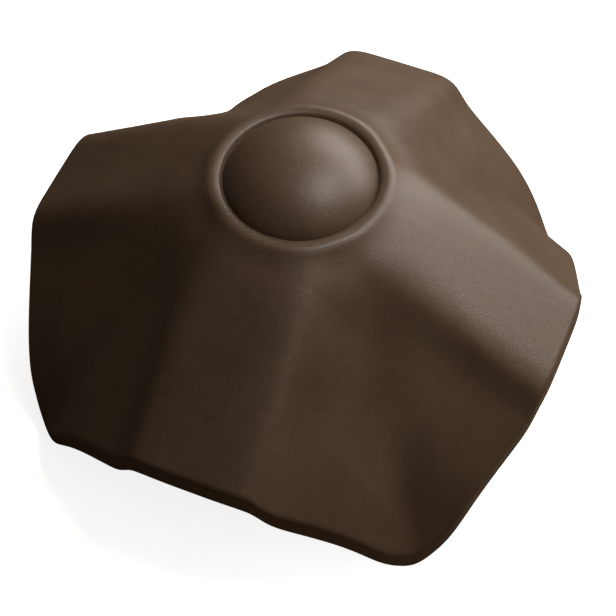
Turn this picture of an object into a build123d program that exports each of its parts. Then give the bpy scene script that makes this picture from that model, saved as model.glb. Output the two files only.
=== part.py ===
"""Four-way hip cap for the top of a pyramid roof, pressed and fired in one piece.

Four arms meet in the middle. Each is a ridge with a flat facet on top, and its sides fall over a
soft brow in a steep step, a shallow shelf and a steep lower part, down to the valley that it
shares with the next arm. A dome with a ring round it sits on the crown where the arms meet.
"""

from build123d import *
from math import atan2, cos, degrees, radians, sin, tan
import os

# Sizes in millimetres. The origin is on the axis, on the floor under the four corners.
# The wall is even along the stroke of the press, so it is measured upright.
wall = 17.0
dome_wall = 13.5
crown_level = 187.0
arm_count = 4

# An arm seen from the side: level on the crown, a bend, then a facet that falls outward.
# The bend's tangents meet at facet_start, measured from the axis, and the arm begins at
# arm_start, under the shoulder that fills the middle.
arm_slope = 35.0
arm_start = 30.0
facet_start = 64.5
crown_bend = 45.0

# An arm seen along its slope. One side goes down from the facet in four slopes, in degrees.
facet_half_width = 27.0
brow_width = 20.0
brow_slope = 25.0
step_width = 15.0
step_slope = 50.0
shelf_width = 38.0
shelf_slope = 32.0
lower_slope = 55.5
crease_radius = 35.0
brow_radius = 45.0
hollow_radius = 30.0
swell_radius = 45.0

# The valleys between the arms, and the round shoulder that closes each one under the crown.
valley_radius = 50.0
shoulder_radius = 45.0
shoulder_drop = 0.5
shoulder_bend = 55.0
shoulder_slope = 60.0
shoulder_depth = 40.0

# Outline seen from above: straight arm ends, tapered sides and large round corners.
arm_reach = 185.5
end_half_width = 37.5
end_radius = 20.0
side_taper = 0.41
corner_radius = 95.0

# The middle: a dome, a groove round it and a raised ring round the groove. The ring leans in to
# the groove, is level on top between two narrow edges, and falls outward at its own slope.
dome_radius = 49.2
dome_height = 26.0
groove_width = 1.0
groove_depth = 3.0
ring_height = 2.0
ring_lean = 1.5
ring_edge = 2.0
ring_top = 2.5
ring_slope = 40.0

# Values that follow, and two lengths that only need to be large enough for a cut to pass.
turn = 360 / arm_count
groove_level = crown_level - groove_depth
dome_sphere = (dome_radius**2 + dome_height**2) / (2 * dome_height)
dome_centre = groove_level + dome_height - dome_sphere
spare = 20.0
far = 300.0


def arm_form():
    """One closed arm, cut to its share of the plan."""
    slope_plane = Plane(
        origin=(facet_start, 0, crown_level),
        x_dir=(0, 1, 0),
        z_dir=(cos(radians(arm_slope)), 0, -sin(radians(arm_slope))),
    )
    # The section begins above the facet, where the slopes of the two brows would meet.
    x, y = 0, facet_half_width * tan(radians(brow_slope))
    points = [(x, y)]
    runs = (facet_half_width + brow_width, step_width, shelf_width, far)
    for run, slope in zip(runs, (brow_slope, step_slope, shelf_slope, lower_slope)):
        x, y = x + run, y - run * tan(radians(slope))
        points.append((x, y))
    with BuildPart() as arm:
        with BuildSketch(slope_plane):
            with BuildLine():
                side = FilletPolyline(*points, radius=(brow_radius, hollow_radius, swell_radius))
                mirror(side, about=Plane.YZ)
                Line(points[-1], (-points[-1][0], points[-1][1]))
            make_face()
        extrude(amount=far, both=True)
        # The top follows the side view, and its long edges are rounded along the whole arm.
        with BuildSketch(Plane.XZ):
            with BuildLine():
                foot = (far, crown_level - (far - facet_start) * tan(radians(arm_slope)))
                FilletPolyline((arm_start, crown_level), (facet_start, crown_level), foot, radius=crown_bend)
                Polyline(foot, (far, -far), (arm_start, -far), (arm_start, crown_level))
            make_face()
        extrude(amount=far, both=True, mode=Mode.INTERSECT)
        tops = [face for face in arm.faces() if face.normal_at().Z > 0.5 and abs(face.normal_at().Y) < 0.01]
        long_edges = [edge for face in tops for edge in face.edges() if abs((edge % 0.5).Y) < 0.9]
        fillet(long_edges, crease_radius)
        with BuildSketch(Plane.XY.offset(-spare)):
            with BuildLine():
                half = far * tan(radians(turn / 2))
                Polyline((0, 0), (far, -half), (far, half), close=True)
            make_face()
        extrude(amount=far, mode=Mode.INTERSECT)
    return arm.part


def shoulder_form():
    """A turned block, level at first, then bent over and falling steeply."""
    with BuildPart() as shoulder:
        with BuildSketch(Plane.XZ):
            with BuildLine():
                level = crown_level - shoulder_drop
                top = Line((0, level), (shoulder_radius, level))
                bend = JernArc(top @ 1, (1, 0), shoulder_bend, -shoulder_slope)
                fall = PolarLine(bend @ 1, shoulder_depth, direction=bend % 1)
                Polyline(fall @ 1, (0, (fall @ 1).Y), top @ 0)
            make_face()
        revolve(axis=Axis.Z)
    return shoulder.part


def in_valley(edge):
    """True for an edge on the line where two arms meet, outside the shoulder."""
    for point in (edge @ 0, edge @ 0.5, edge @ 1):
        distance = (point.X**2 + point.Y**2) ** 0.5
        off_line = degrees(atan2(point.Y, point.X)) % turn - turn / 2
        if distance < shoulder_radius + shoulder_bend / 2 or abs(off_line) > 0.01:
            return False
    return True


# Four arms, the shoulder between them, and soft valleys where the arms meet.
arm = arm_form()
shoulder = shoulder_form()
with BuildPart() as roof:
    with PolarLocations(0, arm_count):
        add(arm)
    add(shoulder)
    fillet([edge for edge in roof.edges() if in_valley(edge)], valley_radius)

# The outline seen from above, where the corner of one arm's share lies on its valley line.
mitre = tan(radians(turn / 2))
corner = (arm_reach + side_taper * end_half_width) / (1 + side_taper * mitre)
with BuildSketch() as arm_plan:
    with BuildLine():
        far_end = [(arm_reach, -end_half_width), (arm_reach, end_half_width)]
        Polyline((0, 0), (corner, -corner * mitre), *far_end, (corner, corner * mitre), close=True)
    make_face()
with BuildSketch() as outline:
    with PolarLocations(0, arm_count):
        add(arm_plan.sketch)
    by_reach = outline.vertices().group_by(lambda v: round((v.X**2 + v.Y**2) ** 0.5, 3))
    fillet(by_reach[-1], corner_radius)
    fillet(by_reach[0], end_radius)

with BuildPart() as hip_cap:
    add(roof.part)
    # The middle: the crown is sunk to the groove's level, then dome and ring are turned on it.
    ring_start = dome_radius + groove_width
    ring_crest = ring_start + ring_lean + ring_edge
    with Locations((0, 0, groove_level)):
        Cylinder(ring_crest, far, align=(Align.CENTER, Align.CENTER, Align.MIN), mode=Mode.SUBTRACT)
    with BuildSketch(Plane.XZ):
        with BuildLine():
            dome = TangentArc((0, groove_level + dome_height), (dome_radius, groove_level), tangent=(1, 0))
            top = crown_level + ring_height
            points = [dome @ 1, (ring_start, groove_level), (ring_start + ring_lean, top - ring_edge / 2)]
            points += [(ring_crest, top), (ring_crest + ring_top, top)]
            points += [(ring_crest + ring_top + ring_edge, top - ring_edge / 2)]
            ring = Polyline(*points)
            flank = PolarLine(ring @ 1, 2 * (groove_depth + ring_height), -ring_slope)
            Polyline(flank @ 1, (0, (flank @ 1).Y), dome @ 0)
        make_face()
    revolve(axis=Axis.Z)
    # The hollow under it is the same form, lower by the wall, with a round recess under the dome.
    with Locations((0, 0, -wall)):
        add(roof.part, mode=Mode.SUBTRACT)
    with Locations((0, 0, dome_centre)):
        Sphere(dome_sphere - dome_wall, mode=Mode.SUBTRACT)
    extrude(outline.sketch, amount=far, mode=Mode.INTERSECT)

hip_cap.part.label = "hip_cap"
os.makedirs("parts", exist_ok=True)
export_step(hip_cap.part, "parts/hip_cap.step")
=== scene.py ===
"""Four-way hip cap for a pyramid roof, in dark brown engobe, on a white studio floor."""

from math import cos, e, pi, radians, sin

import bpy
from mathutils import Matrix, Vector


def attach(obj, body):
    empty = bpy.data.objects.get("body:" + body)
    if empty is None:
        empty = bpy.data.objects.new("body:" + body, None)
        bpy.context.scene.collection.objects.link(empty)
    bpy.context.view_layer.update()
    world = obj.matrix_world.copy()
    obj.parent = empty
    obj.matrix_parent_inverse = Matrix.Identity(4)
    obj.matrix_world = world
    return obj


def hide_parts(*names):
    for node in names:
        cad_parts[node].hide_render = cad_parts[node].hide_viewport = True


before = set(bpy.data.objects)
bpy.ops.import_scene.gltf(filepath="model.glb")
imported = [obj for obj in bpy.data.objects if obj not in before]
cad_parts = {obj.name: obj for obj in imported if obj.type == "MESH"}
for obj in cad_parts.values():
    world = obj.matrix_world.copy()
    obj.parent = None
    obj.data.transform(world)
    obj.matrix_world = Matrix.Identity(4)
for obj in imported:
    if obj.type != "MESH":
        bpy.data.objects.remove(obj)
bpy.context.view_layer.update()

# The camera of the product photograph: above the cap, a little to the right of one arm, with a
# long lens. It looks at a point below the floor, which frames the cap as it is framed there.
view_azimuth = radians(23.90)
view_elevation = radians(55.81)
view_roll = radians(-1.44)
view_distance = 1.567
view_centre = Vector((-0.0513, 0.1226, -0.1571))

back = Vector((sin(view_azimuth) * cos(view_elevation),
               -cos(view_azimuth) * cos(view_elevation),
               sin(view_elevation)))
right = Vector((cos(view_azimuth), sin(view_azimuth), 0))
up = back.cross(right)
rolled_right = cos(view_roll) * right + sin(view_roll) * up
rolled_up = -sin(view_roll) * right + cos(view_roll) * up
camera = bpy.data.objects.new("camera", bpy.data.cameras.new("camera"))
camera.data.lens = 111.25
camera.data.sensor_width = 36
camera.matrix_world = Matrix.Translation(view_centre + back * view_distance) @ Matrix(
    (rolled_right, rolled_up, back)).transposed().to_4x4()
bpy.context.scene.collection.objects.link(camera)
bpy.context.scene.camera = camera

# The cap: clay pressed between two dies and fired in one piece, so the hollow side repeats the
# outer one a wall's thickness lower. The dies leave the valleys soft and the creases rounded,
# most beside the crown. Only the dome's foot is sharp, and the trimmed rim has a narrow lip.
skin_colours = {
    "slip_dark": (0.050, 0.031, 0.019, 1), "slip_light": (0.068, 0.044, 0.028, 1),
    "speck": (0.090, 0.060, 0.040, 1), "thin_slip": (0.125, 0.080, 0.052, 1),
    "clay_dark": (0.120, 0.062, 0.036, 1), "clay_light": (0.200, 0.110, 0.066, 1),
}


def node(tree, kind, inputs=(), **settings):
    """A node of this kind in a tree, with these settings, linked or set on the named inputs."""
    made = tree.nodes.new(kind)
    for key, value in settings.items():
        setattr(made, key, value)
    for key, value in dict(inputs).items():
        value = getattr(value, "socket", value)
        if isinstance(value, bpy.types.NodeSocket):
            tree.links.new(value, made.inputs[key])
        else:
            made.inputs[key].default_value = value
    return made


def blend_colour(tree, factor, first, second):
    """A colour between the first and the second, by this factor."""
    ends = {"Factor": factor, "A": first, "B": second}
    return node(tree, "ShaderNodeMix", ends, data_type="RGBA").outputs["Result"]


# Engobe is a thin clay slip, sprayed on and fired to a satin, slightly sandy skin. It is thinner
# and paler on the trimmed edge. Inside the rim the overspray ends raggedly on dull bare clay.
engobe = bpy.data.materials.new("engobe_brown")
engobe.use_nodes = True
skin = engobe.node_tree
shader = skin.nodes["Principled BSDF"]
shader.inputs["Base Color"].default_value = (0.064, 0.040, 0.025, 1)
shader.inputs["Roughness"].default_value = 0.38
shader.inputs["Specular IOR Level"].default_value = 0.34
spot = node(skin, "ShaderNodeTexCoord").outputs["Object"]


def mottle(scale, detail, roughness):
    """Noise from 0 to 1 over the piece, in patches about 1 / scale metres across."""
    values = {"Vector": spot, "Scale": scale, "Detail": detail, "Roughness": roughness}
    return node(skin, "ShaderNodeTexNoise", values).outputs["Fac"]


def stretch(value, low, high, to_low=0.0, to_high=1.0):
    """The range from low to high, stretched over another range and held at its ends."""
    ends = {"From Min": low, "From Max": high, "To Min": to_low, "To Max": to_high}
    return node(skin, "ShaderNodeMapRange", {"Value": value, **ends}).outputs["Result"]


cloud = mottle(16.0, 4.0, 0.6)
speck = mottle(420.0, 3.0, 0.7)
sand = mottle(1400.0, 2.0, 0.6)
peel = mottle(90.0, 2.0, 0.5)
trim = node(skin, "ShaderNodeAttribute", attribute_name="trim").outputs["Fac"]
bare = node(skin, "ShaderNodeAttribute", attribute_name="bare").outputs["Fac"]

clouding = stretch(cloud, 0.3, 0.7)
slip = blend_colour(skin, clouding, skin_colours["slip_dark"], skin_colours["slip_light"])
slip = blend_colour(skin, stretch(speck, 0.35, 0.7, 0.0, 0.35), slip, skin_colours["speck"])
half_trim = node(skin, "ShaderNodeMath", {0: trim, 1: 0.5}, operation="MULTIPLY").outputs[0]
slip = blend_colour(skin, half_trim, slip, skin_colours["thin_slip"])
clay = blend_colour(skin, speck, skin_colours["clay_dark"], skin_colours["clay_light"])
ragged = node(skin, "ShaderNodeMath", {0: bare, 1: cloud}, operation="ADD").outputs[0]
uncoated = stretch(ragged, 0.85, 1.15)
skin.links.new(blend_colour(skin, uncoated, slip, clay), shader.inputs["Base Color"])

satin = stretch(cloud, 0.3, 0.7, 0.33, 0.43)
dull = node(skin, "ShaderNodeMix", {0: uncoated, "A": satin, "B": 0.85}, data_type="FLOAT")
skin.links.new(dull.outputs["Result"], shader.inputs["Roughness"])
fine = node(skin, "ShaderNodeBump", {"Height": sand, "Strength": 0.6, "Distance": 0.0003})
soft = node(skin, "ShaderNodeBump", {"Height": peel, "Strength": 0.2, "Distance": 0.0008,
                                     "Normal": fine.outputs["Normal"]})
skin.links.new(soft.outputs["Normal"], shader.inputs["Normal"])

# Lengths are in metres, and a slope is the fall for each metre out. Each side of an arm falls in
# four slopes, brow, step, shelf and lower, that start at these distances off its middle line.
sizes = {
    "crown_level": 0.187, "wall": 0.0170, "turns": 480,
    "arm_slope": 0.675, "arm_start": 0.06, "arm_bend": 0.0075,
    "brow_start": 0.031, "brow_slope": 0.3, "brow_bend": 0.0028,
    "step_start": 0.0422, "step_slope": 1.75, "step_bend": 0.0023,
    "shelf_start": 0.0519, "shelf_slope": 0.799, "shelf_bend": 0.0032,
    "lower_start": 0.1094, "lower_slope": 2.09, "lower_bend": 0.0099,
    "crown_softness": 1.7, "crisp_from": 0.135, "crisp_over": 0.065,
    "valley_bend": 0.0162,
    "shoulder_start": 0.098, "shoulder_slope": 2.1, "shoulder_bend": 0.011,
    "shoulder_blend": 0.003, "roof_drop": 0.001,
    "crown_top": 0.004, "crown_start": 0.0878, "crown_slope": 0.69, "crown_bend": 0.002,
    "crown_blend": 0.004, "level_to": 0.050, "level_over": 0.014,
    "arm_reach": 0.1855, "side_reach": 0.2008, "side_taper": 0.382, "corner_reach": 0.1943,
    "outline_power": 80.0,
    "dome_radius": 0.0495, "dome_height": 0.025, "dome_fullness": 0.45, "dome_blend": 0.0004,
    "groove_depth": 0.0024, "groove_width": 0.0013,
    "ring_crest": 0.0582, "ring_height": 0.0025, "ring_width": 0.0074,
    "lip_radius": 0.0022, "edge_radius": 0.0015, "dome_wall": 0.0135, "recess_blend": 0.002,
}
rows = {"dome": 24, "ring": 32, "form": 80, "lip": 6, "side": 4, "edge": 5, "hollow": 48}

# A tree of Math nodes works out where every point of the surface lies. Each size is an input of
# the tree, under its own name.
rule = bpy.data.node_groups.new("hip_cap_rule", "GeometryNodeTree")
rule.is_modifier = True
rule.interface.new_socket("Geometry", in_out="OUTPUT", socket_type="NodeSocketGeometry")
identifiers = {}
for name, value in sizes.items():
    kind = "NodeSocketInt" if isinstance(value, int) else "NodeSocketFloat"
    identifiers[name] = rule.interface.new_socket(name, in_out="INPUT", socket_type=kind).identifier
group_in = node(rule, "NodeGroupInput")
group_out = node(rule, "NodeGroupOutput")


class Term:
    """A number in the rule. Arithmetic on terms adds Math nodes to the tree."""

    def __init__(self, socket):
        self.socket = socket

    def __add__(self, other):
        return calc("ADD", self, other)

    def __radd__(self, other):
        return calc("ADD", other, self)

    def __sub__(self, other):
        return calc("SUBTRACT", self, other)

    def __rsub__(self, other):
        return calc("SUBTRACT", other, self)

    def __mul__(self, other):
        return calc("MULTIPLY", self, other)

    def __rmul__(self, other):
        return calc("MULTIPLY", other, self)

    def __truediv__(self, other):
        return calc("DIVIDE", self, other)

    def __rtruediv__(self, other):
        return calc("DIVIDE", other, self)

    def __pow__(self, other):
        return calc("POWER", self, other)


def calc(operation, *values):
    """A Math node of this operation, fed with terms or plain numbers."""
    made = node(rule, "ShaderNodeMath", dict(enumerate(values)), operation=operation)
    return Term(made.outputs[0])


def above_zero(x):
    """The value where it is positive, and nothing elsewhere."""
    return calc("MAXIMUM", x, 0.0)


def held(x):
    """The value kept between 0 and 1."""
    return calc("MINIMUM", above_zero(x), 1.0)


def rise(x, bend):
    """Nothing below zero and x above it, with a soft bend between the two."""
    return bend * calc("LOGARITHM", 1 + calc("EXPONENT", x / bend), e)


def higher(a, b, blend):
    """The higher of two surfaces, blended over this depth."""
    return (a + b + ((a - b) ** 2 + blend * blend) ** 0.5) * 0.5


def lower(a, b, blend):
    """The lower of two surfaces, blended over this depth."""
    return (a + b - ((a - b) ** 2 + blend * blend) ** 0.5) * 0.5


def hump(x, half_width):
    """A rounded hump, 1 high, where x is zero."""
    return calc("EXPONENT", 0.0 - (x / half_width) ** 2)


size = {name: Term(group_in.outputs[name]) for name in sizes}

# The surface is one sheet that runs from the dome's top out to the rim, round the lip and the
# trimmed side, and back under the hollow to the middle, turned once round the upright axis.
row_count = sum(rows.values())
grid = node(rule, "GeometryNodeMeshGrid", {
    "Size X": 1.0, "Size Y": 1.0, "Vertices X": row_count + 1, "Vertices Y": size["turns"] + 1})
position = node(rule, "GeometryNodeInputPosition").outputs[0]
place = node(rule, "ShaderNodeSeparateXYZ", {"Vector": position})
row = (Term(place.outputs["X"]) + 0.5) * row_count
angle = (Term(place.outputs["Y"]) + 0.5) * (2 * pi)
ramp = {}
first = 0
for name, count in rows.items():
    ramp[name] = held((row - first) / count)
    first += count

# The outline from above: the nearest of the arm's end, the tapered sides and the corner.
across = calc("ABSOLUTE", calc("COSINE", angle))
along = calc("ABSOLUTE", calc("SINE", angle))
nearly_none = 0.01
outline = [
    size["arm_reach"] / calc("MAXIMUM", across, nearly_none),
    size["arm_reach"] / calc("MAXIMUM", along, nearly_none),
    size["side_reach"] / (across + size["side_taper"] * along),
    size["side_reach"] / (along + size["side_taper"] * across),
    size["corner_reach"] / ((across + along) * cos(pi / 4)),
]
nearness = 0.0
for line in outline:
    nearness = nearness + (size["arm_reach"] / line) ** size["outline_power"]
reach = size["arm_reach"] / nearness ** (1 / size["outline_power"])

# How far out each row lies. Rows are close together at the dome's foot and in the groove.
quarter = pi / 2
ring_widths = 3.4
crowding = 1.5
form_from = size["dome_radius"] + size["ring_width"] * ring_widths
lip_angle = ramp["lip"] * quarter
edge_angle = ramp["edge"] * quarter
radius = (size["dome_radius"] * calc("SINE", ramp["dome"] * quarter)
          + (form_from - size["dome_radius"]) * ramp["ring"] ** crowding
          + (reach - size["lip_radius"] - form_from) * ramp["form"]
          + size["lip_radius"] * calc("SINE", lip_angle)
          - size["edge_radius"] * (1 - calc("COSINE", edge_angle))
          - (reach - size["edge_radius"]) * ramp["hollow"])
x = radius * calc("COSINE", angle)
y = radius * calc("SINE", angle)


def fall(distance):
    """The height of an arm's middle line at this distance from the axis."""
    return 0.0 - size["arm_slope"] * rise(distance - size["arm_start"], size["arm_bend"])


def arm(out, off):
    """The height of one arm at this distance out from the axis and off its middle line."""
    softness = 1 + size["crown_softness"] * held((size["crisp_from"] - out) / size["crisp_over"])
    height = fall(out)
    slope = 0.0
    for part in ("brow", "step", "shelf", "lower"):
        bend = size[part + "_bend"] * softness
        height = height - (size[part + "_slope"] - slope) * rise(off - size[part + "_start"], bend)
        slope = size[part + "_slope"]
    return height


# The roof of the cap: the arms, the shoulder that closes the valleys under the crown, the round
# crown's own slope, which trims them both, and a level seat for the ring.
width = calc("ABSOLUTE", x)
depth = calc("ABSOLUTE", y)
arms = higher(arm(width, depth), arm(depth, width), size["valley_bend"])
extra_fall = size["shoulder_slope"] * rise(radius - size["shoulder_start"], size["shoulder_bend"])
form = higher(arms, fall(radius) - extra_fall, size["shoulder_blend"]) - size["roof_drop"]
crown_fall = size["crown_slope"] * rise(radius - size["crown_start"], size["crown_bend"])
form = lower(form, size["crown_top"] - crown_fall, size["crown_blend"])
off_level = held((radius - size["level_to"]) / size["level_over"])
form = form * (off_level * off_level * (3 - 2 * off_level))

# The ring, the groove and the dome, which is a little fuller than part of a sphere, so that its
# foot is steep. Under it a round recess keeps the clay from getting thick. Beyond the foot both
# of these surfaces drop away steeply, so that the roof takes over there.
ring = size["ring_height"] * hump(radius - size["ring_crest"], size["ring_width"])
groove = size["groove_depth"] * hump(radius - size["dome_radius"], size["groove_width"])
dome_sphere = (size["dome_radius"] ** 2 + size["dome_height"] ** 2) / (2 * size["dome_height"])
dome_base = size["dome_height"] - size["groove_depth"] - dome_sphere
steep = 4.0
beyond = steep * above_zero(radius - size["dome_radius"])
round_top = dome_base + above_zero(dome_sphere ** 2 - radius ** 2) ** 0.5
full_top = (size["dome_height"] * above_zero(1 - (radius / size["dome_radius"]) ** 2) ** 0.5
            - size["groove_depth"])
dome = round_top + (full_top - round_top) * size["dome_fullness"] - beyond
outer = higher(form + ring - groove, dome, size["dome_blend"])
recess_sphere = dome_sphere - size["dome_wall"]
recess = dome_base + above_zero(recess_sphere ** 2 - radius ** 2) ** 0.5 - beyond
inner = higher(form - size["wall"], recess, size["recess_blend"])

# The outer side turns over the lip, goes down the trimmed side and round the lower edge.
straight = size["wall"] - size["lip_radius"] - size["edge_radius"]
outside = (outer - size["lip_radius"] * (1 - calc("COSINE", lip_angle)) - straight * ramp["side"]
           - size["edge_radius"] * calc("SINE", edge_angle))
under = calc("GREATER_THAN", ramp["hollow"], 0.0)
z = size["crown_level"] + outside + (inner - outside) * under

# Two marks for the skin. The trim mark is full from a quarter of the way down the side, and the
# bare mark from a ninth of the way in under the cap.
trim_share = 4
bare_share = 9
on_side = calc("MINIMUM", ramp["side"] * trim_share, 1.0) * (1 - under)
inside = calc("MINIMUM", ramp["hollow"] * bare_share, 1.0)

sheet = grid.outputs["Mesh"]
for mark, value in (("trim", on_side), ("bare", inside)):
    stored = {"Geometry": sheet, "Name": mark, "Value": value}
    sheet = node(rule, "GeometryNodeStoreNamedAttribute", stored).outputs[0]
target = node(rule, "ShaderNodeCombineXYZ", {"X": x, "Y": y, "Z": z}).outputs[0]
moved = node(rule, "GeometryNodeSetPosition", {"Geometry": sheet, "Position": target})
seam = {"Geometry": moved.outputs[0], "Distance": 0.00001}
welded = node(rule, "GeometryNodeMergeByDistance", seam)
smooth = node(rule, "GeometryNodeSetShadeSmooth", {"Geometry": welded.outputs[0]})
real = node(rule, "GeometryNodeRealizeInstances", {"Geometry": smooth.outputs[0]})
finished = node(rule, "GeometryNodeSetMaterial", {"Geometry": real.outputs[0], "Material": engobe})
rule.links.new(finished.outputs[0], group_out.inputs[0])

cap = bpy.data.objects.new("cap_surface", bpy.data.meshes.new("cap_surface"))
bpy.context.scene.collection.objects.link(cap)
modifier = cap.modifiers.new("rule", "NODES")
modifier.node_group = rule
for name, value in sizes.items():
    modifier[identifiers[name]] = value
plain = bpy.data.meshes.new_from_object(cap.evaluated_get(bpy.context.evaluated_depsgraph_get()))
cap.modifiers.remove(modifier)
cap.data = plain
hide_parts("hip_cap")
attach(cap, "root")

# A large floor, white to the camera, that still takes the cap's soft shadow. To the cap it is
# darker, as the sweep of a small product table is, so little light comes back up from it.
floor_half = 4
floor_corners = [(-floor_half, -floor_half, 0), (floor_half, -floor_half, 0),
                 (floor_half, floor_half, 0), (-floor_half, floor_half, 0)]
floor_mesh = bpy.data.meshes.new("floor")
floor_mesh.from_pydata(floor_corners, [], [(0, 1, 2, 3)])
floor = bpy.data.objects.new("floor", floor_mesh)
bpy.context.scene.collection.objects.link(floor)
white = bpy.data.materials.new("studio_white")
white.use_nodes = True
sweep = white.node_tree
matt = sweep.nodes["Principled BSDF"]
matt.inputs["Roughness"].default_value = 0.9
matt.inputs["Specular IOR Level"].default_value = 0.0
matt.inputs["Emission Color"].default_value = (1, 1, 1, 1)
seen = node(sweep, "ShaderNodeLightPath").outputs["Is Camera Ray"]
shade = blend_colour(sweep, seen, (0.12, 0.085, 0.055, 1), (0.8, 0.8, 0.8, 1))
glow = node(sweep, "ShaderNodeMath", {0: seen, 1: 0.86}, operation="MULTIPLY").outputs[0]
sweep.links.new(shade, matt.inputs["Base Color"])
sweep.links.new(glow, matt.inputs["Emission Strength"])
floor_mesh.materials.append(white)

# The room is white to the camera, which makes the plain backdrop. The cap gets only a faint warm
# glow from it, so the soft boxes below do nearly all of the lighting.
world = bpy.data.worlds.new("studio")
world.use_nodes = True
room = world.node_tree
direct = node(room, "ShaderNodeLightPath").outputs["Is Camera Ray"]
walls = blend_colour(room, direct, (0.022, 0.0154, 0.0099, 1), (1, 1, 1, 1))
room.links.new(walls, room.nodes["Background"].inputs["Color"])
room.nodes["Background"].inputs["Strength"].default_value = 1.0
bpy.context.scene.world = world

# The key light is a wide box behind and to the right, not high, so the near sides of the right
# and front arms fall into shade. A small high box puts the highlight on the dome and the ring,
# and a weak warm one from the right keeps the shaded forms readable.
mid_cap = Vector((0, 0, 0.1))


def soft_box(name, place, box, power, tint):
    """A soft box of this width and height, power and tint, turned towards the cap."""
    lamp = bpy.data.lights.new(name, "AREA")
    lamp.shape = "RECTANGLE"
    lamp.size, lamp.size_y = box
    lamp.energy = power
    lamp.color = tint
    holder = bpy.data.objects.new(name, lamp)
    holder.location = place
    holder.rotation_euler = (mid_cap - Vector(place)).to_track_quat("-Z", "Y").to_euler()
    bpy.context.scene.collection.objects.link(holder)


soft_box("key_light", (0.52, 1.34, 0.84), (2.0, 0.8), 43, (1, 0.95, 0.9))
soft_box("high_light", (0.5, 0.26, 1.38), (0.45, 0.45), 14, (1, 0.97, 0.94))
soft_box("right_light", (0.8, -0.33, 1.32), (0.9, 0.9), 3.7, (1, 0.84, 0.66))

bpy.context.scene.view_settings.view_transform = "Standard"
